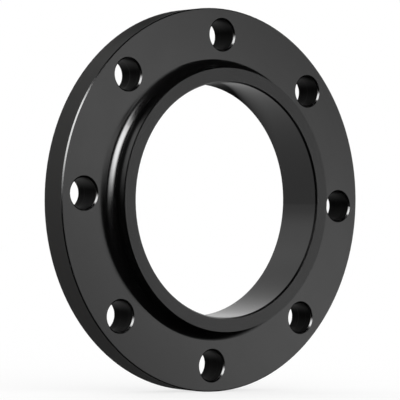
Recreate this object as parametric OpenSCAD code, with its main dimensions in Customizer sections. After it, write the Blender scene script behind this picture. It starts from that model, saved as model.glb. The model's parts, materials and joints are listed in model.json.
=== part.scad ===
// Hubbed steel pipe flange, one forging turned and drilled all over.
//
// A thick ring carries the bolt holes. A thin raised face for the gasket stands on one side of
// it. A short straight hub for the weld stands on the other, and one plain bore runs through.
//
// The bore lies along Y, and Z is up. The gasket face is the plane Y = 0 and looks along +Y, the
// hub reaches towards -Y, and the origin is the centre of the bore in the gasket face.

/* [Ring] */
// Outside diameter
ring_diameter = 279.4; // [274:0.1:320]
// Thickness from the gasket face to the hub-side face
ring_thickness = 23.9; // [16:0.1:40]
// Bevel on the ring's outer edge, hub side
front_edge_bevel = 0.8; // [0.3:0.1:3]
// Bevel on the ring's outer edge, gasket side
back_edge_bevel = 2; // [0.3:0.1:3]

/* [Raised face] */
// Diameter of the gasket face
face_diameter = 215.9; // [190:0.1:216]
// Height of the gasket face above the ring
face_height = 1.6; // [0.5:0.1:3]
// Bevel round the gasket face
face_bevel = 0.4; // [0.1:0.1:0.5]

/* [Hub] */
// Outside diameter of the hub
hub_diameter = 192.1; // [180:0.1:200]
// Height of the hub above the ring
hub_height = 14.2; // [10:0.1:60]
// Radius of the fillet between the hub and the ring
hub_fillet = 6.4; // [1:0.1:7]
// How far the steep bevel on the hub's outer edge reaches down its wall
hub_edge_depth = 1; // [0.3:0.1:3]
// How much that bevel takes off the hub's end
hub_edge_width = 0.5; // [0.2:0.1:3]

/* [Bore] */
// Diameter of the bore, which takes the pipe
bore_diameter = 170.7; // [140:0.1:172]
// How far the steep bevel at the hub's end of the bore, where the pipe goes in, reaches down it
lead_in_depth = 1.8; // [0.3:0.1:3]
// How much that bevel takes off the hub's end
lead_in_width = 0.9; // [0.2:0.1:1.5]
// Bevel of the bore in the gasket face
face_bore_bevel = 0.2; // [0.1:0.1:1.5]

/* [Bolt holes] */
// Number of bolt holes
bolt_count = 8; // [4:1:12]
// Diameter of the circle that their centres lie on
bolt_circle = 241.3; // [241:0.1:245]
// Diameter of each hole
bolt_hole = 22.2; // [12:0.1:22.5]
// Bevel of each hole in the hub-side face, under the bolt head or nut
nut_side_bevel = 1.3; // [0.2:0.1:1.5]
// Bevel of each hole in the back of the ring, narrower to stay clear of the raised face
gasket_side_bevel = 0.5; // [0.2:0.1:1]
// Turn of the hole pattern from straight up, clockwise as seen from the hub
bolt_turn = 0; // [0:0.5:90]

/* [Smoothness] */
// Segments round each full turn of the ring and hub
turn_segments = 180; // [60:12:240]
// Segments round each bolt hole
hole_segments = 48; // [24:4:96]
// Segments round the full circle of the fillet
fillet_segments = 32; // [16:4:64]

/* [Hidden] */

// Radii of the turned section, and the height of its top above the gasket face
ring_radius = ring_diameter / 2;
face_radius = face_diameter / 2;
hub_radius = hub_diameter / 2;
bore_radius = bore_diameter / 2;
hub_end = ring_thickness + hub_height;

// How far a cutting shape runs past the surface that it cuts
clear = 1;

// What a bevel takes off a square corner at the origin, with the material at -X and -Y
module edge_bevel(width, depth) {
    slope = depth / width;
    reach = width + clear;
    polygon([[-reach, clear * slope], [clear, -reach * slope], [clear, clear * slope]]);
}

// What a fillet adds in a square inner corner at the origin, with walls along +X and +Y
module corner_fillet(radius) {
    difference() {
        square(radius);
        translate([radius, radius])
            circle(radius, $fn = fillet_segments);
    }
}

// Half section of the thick ring, with X as radius and Y as height above the gasket face
module ring_section() {
    difference() {
        translate([bore_radius, face_height])
            square([ring_radius - bore_radius, ring_thickness - face_height]);
        translate([ring_radius, ring_thickness])
            edge_bevel(front_edge_bevel, front_edge_bevel);
        translate([ring_radius, face_height])
            mirror([0, 1])
                edge_bevel(back_edge_bevel, back_edge_bevel);
    }
}

// Half section of the raised face, let into the ring
module face_section() {
    difference() {
        translate([bore_radius, 0])
            square([face_radius - bore_radius, face_height + clear]);
        translate([face_radius, 0])
            mirror([0, 1])
                edge_bevel(face_bevel, face_bevel);
    }
}

// Half section of the hub, let into the ring, with the fillet at its root
module hub_section() {
    difference() {
        translate([bore_radius, ring_thickness - clear])
            square([hub_radius - bore_radius, hub_height + clear]);
        translate([hub_radius, hub_end])
            edge_bevel(hub_edge_width, hub_edge_depth);
    }
    translate([hub_radius, ring_thickness])
        corner_fillet(hub_fillet);
}

// Half section of the whole turned body, with a bevel at each end of the bore
module turned_section() {
    difference() {
        union() {
            ring_section();
            face_section();
            hub_section();
        }
        translate([bore_radius, hub_end])
            mirror([1, 0])
                edge_bevel(lead_in_width, lead_in_depth);
        translate([bore_radius, 0])
            rotate(180)
                edge_bevel(face_bore_bevel, face_bore_bevel);
    }
}

// Countersink for the mouth of a bolt hole, going down from a face at Z = 0
module countersink(bevel) {
    mouth = bolt_hole + 2 * bevel;
    translate([0, 0, -bevel])
        cylinder(h = bevel, d1 = bolt_hole, d2 = mouth);
    cylinder(h = clear, d = mouth);
}

// Cutter for one bolt hole, with Z as height above the gasket face
module bolt_drill() {
    translate([0, 0, face_height - clear])
        cylinder(h = ring_thickness - face_height + 2 * clear, d = bolt_hole);
    translate([0, 0, ring_thickness])
        countersink(nut_side_bevel);
    translate([0, 0, face_height])
        mirror([0, 0, 1])
            countersink(gasket_side_bevel);
}

// The forging: the section turned round the bore, with the bolt holes drilled through its ring
module flange() {
    color([0.16, 0.16, 0.165])
        rotate([90, 0, 0])
            difference() {
                rotate_extrude($fn = turn_segments)
                    turned_section();
                for (i = [0 : bolt_count - 1])
                    rotate(90 - bolt_turn - i * 360 / bolt_count)
                        translate([bolt_circle / 2, 0])
                            bolt_drill($fn = hole_segments);
            }
}

flange();
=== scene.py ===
import json
import math

import bpy
from mathutils import Matrix, Vector


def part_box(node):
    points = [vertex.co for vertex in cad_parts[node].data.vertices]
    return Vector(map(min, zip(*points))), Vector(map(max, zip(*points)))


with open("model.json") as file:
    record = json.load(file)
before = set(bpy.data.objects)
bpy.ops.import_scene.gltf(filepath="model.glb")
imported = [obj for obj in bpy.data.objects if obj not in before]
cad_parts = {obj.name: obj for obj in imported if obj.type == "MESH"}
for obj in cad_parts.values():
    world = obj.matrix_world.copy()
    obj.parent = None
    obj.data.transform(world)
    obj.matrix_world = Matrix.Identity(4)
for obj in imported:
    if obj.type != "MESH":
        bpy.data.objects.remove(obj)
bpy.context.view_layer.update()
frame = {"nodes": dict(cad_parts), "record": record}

# ---------------------------------------------------------------------------------------------
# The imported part.  All lengths are in metres: the bore lies along Y, Z is up, the gasket face is
# the plane Y = 0 and the hub points along -Y.
# ---------------------------------------------------------------------------------------------
flange = frame["nodes"]["flange"]
low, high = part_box("flange")
mounts = {mount["name"]: mount for mount in frame["record"]["mounts"]}

RING_RADIUS = (high.x - low.x) / 2
HUB_END_Y = low.y
NUT_FACE_Y = mounts["nut_face"]["pos_m"][1]
BORE_RADIUS = mounts["pipe_bore"]["dims"]["r_mm"] / 1000
BOLT_CIRCLE_RADIUS = mounts["bolt_circle"]["dims"]["pcd_mm"] / 2000
BOLT_COUNT = mounts["bolt_circle"]["dims"]["count"]
HOLE_RADIUS = mounts["bolt_circle"]["dims"]["hole_r_mm"] / 1000
FLOOR_Z = low.z

# The part's own sizes that the record has no mount for
FRONT_BEVEL = 0.0008
HUB_FILLET = 0.0064
INSIDE_HUB_WALL = 0.094  # a radius between the bore and the hub's wall


# ---------------------------------------------------------------------------------------------
# Node helpers
# ---------------------------------------------------------------------------------------------
class Nodes:
    """A node tree with short calls for the nodes used here."""

    def __init__(self, tree):
        self.tree = tree
        tree.nodes.clear()

    def add(self, kind, **settings):
        node = self.tree.nodes.new(kind)
        for name, value in settings.items():
            setattr(node, name, value)
        return node

    def link(self, source, target):
        self.tree.links.new(source, target)

    def feed(self, socket, value):
        """Link a socket to another, or set it to a number."""
        if isinstance(value, bpy.types.NodeSocket):
            self.link(value, socket)
        else:
            socket.default_value = value

    def math(self, operation, *values, clamp=False):
        node = self.add("ShaderNodeMath", operation=operation, use_clamp=clamp)
        for socket, value in zip(node.inputs, values):
            self.feed(socket, value)
        return node.outputs[0]

    def minus(self, a, b):
        return self.math("SUBTRACT", a, b)

    def ratio(self, a, b):
        return self.math("DIVIDE", a, b)

    def total(self, *values):
        result = values[0]
        for value in values[1:]:
            result = self.math("ADD", result, value)
        return result

    def product(self, *values):
        result = values[0]
        for value in values[1:]:
            result = self.math("MULTIPLY", result, value)
        return result

    def length(self, a, b):
        """Length of a flat vector from its two coordinates."""
        return self.math("SQRT", self.total(self.product(a, a), self.product(b, b)))

    def step(self, value, start, end):
        """0 at start, 1 at end, smooth between them; start may be the larger."""
        rising = start < end
        node = self.add("ShaderNodeMapRange", interpolation_type="SMOOTHSTEP")
        self.feed(node.inputs["Value"], value)
        node.inputs["From Min"].default_value = min(start, end)
        node.inputs["From Max"].default_value = max(start, end)
        node.inputs["To Min"].default_value = 0 if rising else 1
        node.inputs["To Max"].default_value = 1 if rising else 0
        return node.outputs["Result"]

    def hill(self, value, width):
        """1 at 0, falling like a bell on both sides, to 0.37 at the width."""
        share = self.ratio(value, width)
        return self.math("EXPONENT", self.product(share, share, -1))

    def axes(self, vector):
        """The three coordinates of a vector."""
        node = self.add("ShaderNodeSeparateXYZ")
        self.link(vector, node.inputs[0])
        return node.outputs["X"], node.outputs["Y"], node.outputs["Z"]

    def joined(self, x, y, z):
        """A vector from its three coordinates."""
        node = self.add("ShaderNodeCombineXYZ")
        for socket, value in zip(node.inputs, (x, y, z)):
            self.feed(socket, value)
        return node.outputs[0]

    def scaled(self, vector, factor):
        node = self.add("ShaderNodeVectorMath", operation="SCALE")
        self.link(vector, node.inputs[0])
        node.inputs["Scale"].default_value = factor
        return node.outputs[0]

    def noise(self, vector, detail):
        """Soft random values from 0 to 1, about 0.5 on average, with features 1 unit apart."""
        node = self.add("ShaderNodeTexNoise")
        node.inputs["Scale"].default_value = 1
        node.inputs["Detail"].default_value = detail
        self.link(vector, node.inputs["Vector"])
        return node.outputs["Fac"]

    def bump(self, height, distance, normal=None):
        node = self.add("ShaderNodeBump")
        node.inputs["Distance"].default_value = distance
        self.link(height, node.inputs["Height"])
        if normal is not None:
            self.link(normal, node.inputs["Normal"])
        return node.outputs["Normal"]

    def mixed(self, share, a, b):
        """A colour between a and b, each a colour or the result of another mix."""
        node = self.add("ShaderNodeMix", data_type="RGBA")
        self.link(share, node.inputs["Factor"])
        self.feed(node.inputs["A"], a)
        self.feed(node.inputs["B"], b)
        return node.outputs["Result"]

    def emission(self, strength):
        """White light of a given strength."""
        node = self.add("ShaderNodeEmission")
        node.inputs["Color"].default_value = (1, 1, 1, 1)
        self.feed(node.inputs["Strength"], strength)
        return node.outputs[0]

    def choice(self, share, a, b):
        """Shader a where the share is 0, shader b where it is 1."""
        node = self.add("ShaderNodeMixShader")
        self.link(share, node.inputs["Fac"])
        self.link(a, node.inputs[1])
        self.link(b, node.inputs[2])
        return node.outputs[0]

    def seen_by(self):
        """1 for rays straight from the camera, and 1 for rays from a mirror or through glass."""
        path = self.add("ShaderNodeLightPath")
        reflected = self.total(path.outputs["Is Glossy Ray"], path.outputs["Is Transmission Ray"])
        return path.outputs["Is Camera Ray"], self.math("MINIMUM", reflected, 1.0)


# ---------------------------------------------------------------------------------------------
# Camera: a long lens that looks at the hub side from the left.  Distances are in metres, and the
# lens and the sensor in millimetres.
# ---------------------------------------------------------------------------------------------
VIEW_TURN = math.radians(39.56)
VIEW_DROP = math.radians(0.15)
VIEW_ROLL = math.radians(2.35)
VIEW_DISTANCE = 1.5964
VIEW_ASIDE = 0.01255
VIEW_ABOVE = 0.00007
LENS = 197.19
SENSOR = 36


def add_camera():
    turn = (
        Matrix.Rotation(-VIEW_ROLL, 3, "Y")
        @ Matrix.Rotation(-VIEW_TURN, 3, "Z")
        @ Matrix.Rotation(-VIEW_DROP, 3, "X")
    )
    right = turn @ Vector((1, 0, 0))
    forward = turn @ Vector((0, 1, 0))
    up = turn @ Vector((0, 0, 1))
    aim = Vector((0, NUT_FACE_Y, 0))
    place = aim - forward * VIEW_DISTANCE - right * VIEW_ASIDE - up * VIEW_ABOVE

    camera_data = bpy.data.cameras.new("camera")
    camera_data.lens = LENS
    camera_data.sensor_width = SENSOR
    camera = bpy.data.objects.new("camera", camera_data)
    axes = Matrix((right, up, -forward)).transposed()
    camera.matrix_world = Matrix.Translation(place) @ axes.to_4x4()
    bpy.context.scene.collection.objects.link(camera)
    bpy.context.scene.camera = camera


add_camera()

# ---------------------------------------------------------------------------------------------
# Steel with a black coat: glossy where it was turned, matt on the rim, dark in the drilled holes
# ---------------------------------------------------------------------------------------------
STEEL_IOR = 1.5

TURNED_ROUGHNESS = 0.17
HUB_END_ROUGHNESS = 0.26
BORE_ROUGHNESS = 0.14
RIM_ROUGHNESS = 0.5
HOLE_ROUGHNESS = 0.42

# Specular level by place.  The rim mirrors little, and painted shade makes it mirror less towards
# its top and bottom.  The holes mirror little, with more on each hole's drill rings and a painted
# reflection at its top.  Painted shade keeps the hub's root mirroring little, and the top of the
# bore mirroring almost nothing towards the gasket face.
TURNED_SPECULAR = 0.5
RIM_SPECULAR = 0.013
RIM_PAINTED_SHADE_SPECULAR = 0.001
HUB_ROOT_PAINTED_SHADE_SPECULAR = 0.02
HOLE_SPECULAR = 0.02
HOLE_RING_SPECULAR = 0.1
HOLE_TOP_PAINTED_REFLECTION_SPECULAR = 0.3
BORE_TOP_PAINTED_SHADE_SPECULAR = 0.001

# Base colour.  The coat is thick or thin in patches, and dry on the rim.
COAT_THICK = (0.0024, 0.0025, 0.0027, 1)
COAT_THIN = (0.0036, 0.0034, 0.0033, 1)
COAT_DRY = (0.046, 0.0455, 0.045, 1)
# Painted shade: the rim's colour towards its top and bottom
COAT_DRY_PAINTED_SHADE = (0.018, 0.018, 0.018, 1)

# Patterns: their size along the surface, their detail, and the roughness or depth that they add.
# DRILL_RING has the values of the drill's pattern where a lighter ring starts and where it is full.
PATCH_SIZE = 0.022
PATCH_DETAIL = 3
PATCH_ROUGHNESS = 0.02
GROOVE_PITCH = 0.0006
GROOVE_DEPTH = 0.00001
GROOVE_DETAIL = 1
DRILL_PITCH = 0.0011
DRILL_DEPTH = 0.00003
DRILL_DETAIL = 2
DRILL_RING = (0.58, 0.72)

# Where each finish changes.  A pair says where a finish starts and where it is full, and the other
# changes take an EDGE or two.  The painted shade at the hub's root runs from the middle of the
# fillet up the wall.
EDGE = 0.0002
RIM_FROM_RADIUS = (RING_RADIUS - 0.0016, RING_RADIUS - 0.0012)
HUB_ROOT_LOWER_Y = (NUT_FACE_Y - 0.5 * HUB_FILLET, NUT_FACE_Y - 0.75 * HUB_FILLET)
HUB_ROOT_UPPER_Y = (HUB_END_Y + 0.0035, HUB_END_Y + 0.0065)
HOLE_TOP = (0.25 * HOLE_RADIUS, 0.85 * HOLE_RADIUS)

# The parts of the rim with painted shade, by height as a share of the radius
RIM_PAINTED_SHADE_ABOVE = (0.67, 0.92)
RIM_PAINTED_SHADE_BELOW = (-0.82, -1.06)

# The painted shade at the top of the bore, by depth from the hub's end as a share of the length,
# less the slant to the right, and by the shares of the radius to the right and up
BORE_TOP_SLANT = 1.3
BORE_TOP_DEPTH = (-0.31, 0.41)
BORE_TOP_SIDE = (-0.35, -0.1)
BORE_TOP_RISE = (0, 0.3)


def turned_places(n, y, radius):
    """Masks for the rim, the bore, the hub's end and the painted shade low on the hub's wall."""
    behind_bevel = n.step(y, NUT_FACE_Y + FRONT_BEVEL, NUT_FACE_Y + FRONT_BEVEL + EDGE)
    rim = n.product(behind_bevel, n.step(radius, *RIM_FROM_RADIUS))
    bore = n.step(radius, BORE_RADIUS + 2 * EDGE, BORE_RADIUS + EDGE)
    hub_end = n.step(y, HUB_END_Y + 2 * EDGE, HUB_END_Y + EDGE)
    hub_root_painted_shade = n.product(
        n.step(y, *HUB_ROOT_LOWER_Y),
        n.step(y, *HUB_ROOT_UPPER_Y),
        n.step(radius, INSIDE_HUB_WALL - EDGE, INSIDE_HUB_WALL + EDGE),
    )
    return rim, bore, hub_end, hub_root_painted_shade


def bore_top_painted_shade(n, bore, y, round_x, round_z):
    """Mask for painted shade on the bore's top, from a slanting line on to the gasket face."""
    depth = n.total(n.product(y, -1 / HUB_END_Y), 1)  # 0 at the hub's end, 1 at the gasket face
    slanting = n.total(depth, n.product(round_x, -BORE_TOP_SLANT))
    return n.product(
        bore,
        n.step(slanting, *BORE_TOP_DEPTH),
        n.step(round_x, *BORE_TOP_SIDE),
        n.step(round_z, *BORE_TOP_RISE),
    )


def hole_places(n, x, z, radius):
    """Masks for the drilled holes and for the painted reflection on the upper side of each."""
    # The place within the nearest hole, outward and aside of its centre
    pitch = 2 * math.pi / BOLT_COUNT
    turn = n.math("ARCTAN2", x, z)
    off_hole = n.math("WRAP", turn, pitch / 2, -pitch / 2)
    outward = n.minus(n.product(radius, n.math("COSINE", off_hole)), BOLT_CIRCLE_RADIUS)
    aside = n.product(radius, n.math("SINE", off_hole))
    hole = n.step(n.length(outward, aside), HOLE_RADIUS + 2 * EDGE, HOLE_RADIUS + EDGE)

    # Height above the hole's centre
    hole_turn = n.minus(turn, off_hole)
    rise = n.minus(
        n.product(outward, n.math("COSINE", hole_turn)),
        n.product(aside, n.math("SINE", hole_turn)),
    )
    hole_top_painted_reflection = n.product(hole, n.step(rise, *HOLE_TOP))
    return hole, hole_top_painted_reflection


def black_steel():
    material = bpy.data.materials.new("black_steel")
    material.use_nodes = True
    n = Nodes(material.node_tree)
    output = n.add("ShaderNodeOutputMaterial")
    shader = n.add("ShaderNodeBsdfPrincipled")
    n.link(shader.outputs["BSDF"], output.inputs["Surface"])

    place = n.add("ShaderNodeTexCoord").outputs["Object"]
    x, y, z = n.axes(place)
    radius = n.length(x, z)
    rim, bore, hub_end, hub_root_painted_shade = turned_places(n, y, radius)
    hole, hole_top_painted_reflection = hole_places(n, x, z, radius)
    patches = n.noise(n.scaled(place, 1 / PATCH_SIZE), PATCH_DETAIL)

    # The tool's path runs in along the faces and down the walls, so its grooves follow radius + y.
    # The drill's marks follow y alone.
    round_x = n.ratio(x, radius)
    round_z = n.ratio(z, radius)
    path = n.product(n.total(radius, y), 1 / GROOVE_PITCH)
    grooves = n.product(n.noise(n.joined(path, round_x, round_z), GROOVE_DETAIL), n.minus(1.0, hole))
    drill_path = n.product(y, 1 / DRILL_PITCH)
    rings = n.noise(n.joined(drill_path, round_x, round_z), DRILL_DETAIL)
    turned = n.bump(grooves, GROOVE_DEPTH)
    n.link(n.bump(n.product(rings, hole), DRILL_DEPTH, turned), shader.inputs["Normal"])

    rough = n.total(
        n.product(n.minus(patches, 0.5), 2 * PATCH_ROUGHNESS),
        TURNED_ROUGHNESS,
        n.product(hub_end, HUB_END_ROUGHNESS - TURNED_ROUGHNESS),
        n.product(bore, BORE_ROUGHNESS - TURNED_ROUGHNESS),
        n.product(rim, RIM_ROUGHNESS - TURNED_ROUGHNESS),
        n.product(hole, HOLE_ROUGHNESS - TURNED_ROUGHNESS),
    )
    n.link(rough, shader.inputs["Roughness"])

    # Painted shade: the rim darker and mirroring less towards its top and bottom
    rim_painted_shade = n.total(n.step(round_z, *RIM_PAINTED_SHADE_ABOVE), n.step(round_z, *RIM_PAINTED_SHADE_BELOW))
    ring_lines = n.step(rings, *DRILL_RING)
    specular = n.total(
        n.product(hole, HOLE_SPECULAR - TURNED_SPECULAR),
        n.product(hole, ring_lines, HOLE_RING_SPECULAR - HOLE_SPECULAR),
        # Painted reflection: a lighter patch at the top of each hole
        n.product(hole_top_painted_reflection, patches, HOLE_TOP_PAINTED_REFLECTION_SPECULAR - HOLE_SPECULAR),
        # Painted shade: the hub's wall near its root mirrors little
        n.product(hub_root_painted_shade, HUB_ROOT_PAINTED_SHADE_SPECULAR - TURNED_SPECULAR),
        # Painted shade: the bore's top mirrors almost nothing towards the gasket face
        n.product(bore_top_painted_shade(n, bore, y, round_x, round_z), BORE_TOP_PAINTED_SHADE_SPECULAR - TURNED_SPECULAR),
        n.product(rim, RIM_SPECULAR - TURNED_SPECULAR),
        n.product(rim, rim_painted_shade, RIM_PAINTED_SHADE_SPECULAR - RIM_SPECULAR),
        TURNED_SPECULAR,
    )
    n.link(specular, shader.inputs["Specular IOR Level"])
    shader.inputs["IOR"].default_value = STEEL_IOR

    coat = n.mixed(patches, COAT_THICK, COAT_THIN)
    # The rim's dry coat, with painted shade towards its top and bottom
    dry_coat_and_painted_shade = n.mixed(rim_painted_shade, COAT_DRY, COAT_DRY_PAINTED_SHADE)
    n.link(n.mixed(rim, coat, dry_coat_and_painted_shade), shader.inputs["Base Color"])
    return material


def dress_flange():
    flange.data.materials.clear()
    flange.data.materials.append(black_steel())
    for polygon in flange.data.polygons:
        polygon.material_index = 0


dress_flange()

# ---------------------------------------------------------------------------------------------
# Studio.  The floor and the room are white to the camera, and a plain level to every matt
# surface.  What the flange mirrors is a dark room with a pale backdrop behind the gasket side, a
# large softbox at the viewer's left and a soft panel at the right.
#
# Azimuth and elevation are in degrees.  Azimuth 0 looks along -Y and azimuth 90 along +X.  A pair
# says where a light's edge is dark and where it is bright.
# ---------------------------------------------------------------------------------------------
PLAIN_LEVEL = 0.9

# The softbox's top edge leans.  It is at SOFTBOX_TOP where the azimuth is SOFTBOX_TOP_MIDDLE, and
# changes by SOFTBOX_TOP_LEAN with each degree to the right.
SOFTBOX_LEVEL = 20
SOFTBOX_LEFT = (-79, -45)
SOFTBOX_RIGHT = (6, -14)
SOFTBOX_BOTTOM = (-3, 23)
SOFTBOX_TOP = (47.5, 34.5)
SOFTBOX_TOP_MIDDLE = -34
SOFTBOX_TOP_LEAN = -0.34

# A faint light that reaches further left than the softbox, between the same bottom and top
FILL_LEVEL = 0.7
FILL_LEFT = (-90, -70)
FILL_RIGHT = (-10, -30)

PANEL_LEVEL = 2.1
PANEL_AZIMUTH = 39.5
PANEL_ELEVATION = 1.3
PANEL_LEAN = math.radians(47.7)
PANEL_WIDTH = 5.6
PANEL_LENGTH = 22

# The backdrop fills the directions with a large enough share along +Y.  Its level rises from low to
# high with the elevation, and then falls to that of its top.
BACKDROP_LOW = 0.5
BACKDROP_HIGH = 1.05
BACKDROP_TOP = 0.6
BACKDROP_AWAY = (0.25, 0.55)
BACKDROP_RISE = (-2, 18)
BACKDROP_FALL = (30, 48)

# To a mirror, the floor shows the dark room near the flange, and is as pale as the backdrop further
# along +Y, over the stretch FLOOR_PALE in metres.
FLOOR_REACH = 40
FLOOR_COLOUR = 0.3
FLOOR_PALE = (0.12, 0.25)


def softbox(n, azimuth, elevation):
    """Level of the softbox and its fill in a direction."""
    light = n.total(
        n.product(n.step(azimuth, *SOFTBOX_LEFT), n.step(azimuth, *SOFTBOX_RIGHT), SOFTBOX_LEVEL),
        n.product(n.step(azimuth, *FILL_LEFT), n.step(azimuth, *FILL_RIGHT), FILL_LEVEL),
    )
    lean = n.product(n.minus(azimuth, SOFTBOX_TOP_MIDDLE), SOFTBOX_TOP_LEAN)
    top = n.step(n.minus(elevation, lean), *SOFTBOX_TOP)
    return n.product(light, n.step(elevation, *SOFTBOX_BOTTOM), top)


def panel(n, azimuth, elevation):
    """Level of the panel: a long soft oval that leans."""
    aside = n.minus(azimuth, PANEL_AZIMUTH)
    above = n.minus(elevation, PANEL_ELEVATION)
    across = n.total(n.product(aside, math.sin(PANEL_LEAN)), n.product(above, math.cos(PANEL_LEAN)))
    along = n.minus(n.product(aside, math.cos(PANEL_LEAN)), n.product(above, math.sin(PANEL_LEAN)))
    return n.product(n.hill(across, PANEL_WIDTH), n.hill(along, PANEL_LENGTH), PANEL_LEVEL)


def backdrop(n, away, elevation):
    """Level of the backdrop, from the share of the direction along +Y and its elevation."""
    level = n.total(
        n.product(n.step(elevation, *BACKDROP_RISE), BACKDROP_HIGH - BACKDROP_LOW),
        n.product(n.step(elevation, *BACKDROP_FALL), BACKDROP_TOP - BACKDROP_HIGH),
        BACKDROP_LOW,
    )
    return n.product(level, n.step(away, *BACKDROP_AWAY))


def add_room():
    world = bpy.data.worlds.new("studio")
    world.use_nodes = True
    # Each kind of ray sees another world, so Cycles mustn't sample it as one light.
    world.cycles.sampling_method = "NONE"
    bpy.context.scene.world = world
    n = Nodes(world.node_tree)

    # The ray's direction
    x, y, z = n.axes(n.add("ShaderNodeTexCoord").outputs["Generated"])
    azimuth = n.math("DEGREES", n.math("ARCTAN2", x, n.product(y, -1)))
    elevation = n.math("DEGREES", n.math("ARCSINE", z))
    mirrored = n.total(
        softbox(n, azimuth, elevation),
        panel(n, azimuth, elevation),
        backdrop(n, y, elevation),
    )

    is_camera, is_mirror = n.seen_by()
    is_other = n.math("SUBTRACT", 1.0, n.total(is_camera, is_mirror), clamp=True)
    level = n.total(is_camera, n.product(is_mirror, mirrored), n.product(is_other, PLAIN_LEVEL))
    background = n.add("ShaderNodeBackground")
    background.inputs["Color"].default_value = (1, 1, 1, 1)
    n.link(level, background.inputs["Strength"])
    n.link(background.outputs[0], n.add("ShaderNodeOutputWorld").inputs["Surface"])


def pale_floor():
    material = bpy.data.materials.new("pale_floor")
    material.use_nodes = True
    n = Nodes(material.node_tree)
    is_camera, is_mirror = n.seen_by()

    # To the camera: a matt floor that catches the shadow, lifted to white where nothing shades it
    matt = n.add("ShaderNodeBsdfDiffuse")
    matt.inputs["Color"].default_value = (FLOOR_COLOUR, FLOOR_COLOUR, FLOOR_COLOUR, 1)
    direct = n.add("ShaderNodeAddShader")
    n.link(matt.outputs[0], direct.inputs[0])
    n.link(n.emission(n.product(is_camera, 1 - FLOOR_COLOUR * PLAIN_LEVEL)), direct.inputs[1])

    # To a mirror: see-through near the flange, and pale beyond it
    _, y, _ = n.axes(n.add("ShaderNodeTexCoord").outputs["Object"])
    room = n.add("ShaderNodeBsdfTransparent").outputs[0]
    mirrored = n.choice(n.step(y, *FLOOR_PALE), room, n.emission(BACKDROP_LOW))

    floor = n.choice(is_mirror, direct.outputs[0], mirrored)
    n.link(floor, n.add("ShaderNodeOutputMaterial").inputs["Surface"])
    return material


def add_floor():
    around = ((-1, -1), (1, -1), (1, 1), (-1, 1))
    corners = [(x * FLOOR_REACH, y * FLOOR_REACH, FLOOR_Z) for x, y in around]
    mesh = bpy.data.meshes.new("floor")
    mesh.from_pydata(corners, [], [(0, 1, 2, 3)])
    mesh.materials.append(pale_floor())
    floor = bpy.data.objects.new("floor", mesh)
    bpy.context.scene.collection.objects.link(floor)


add_room()
add_floor()
bpy.context.scene.view_settings.view_transform = "Standard"
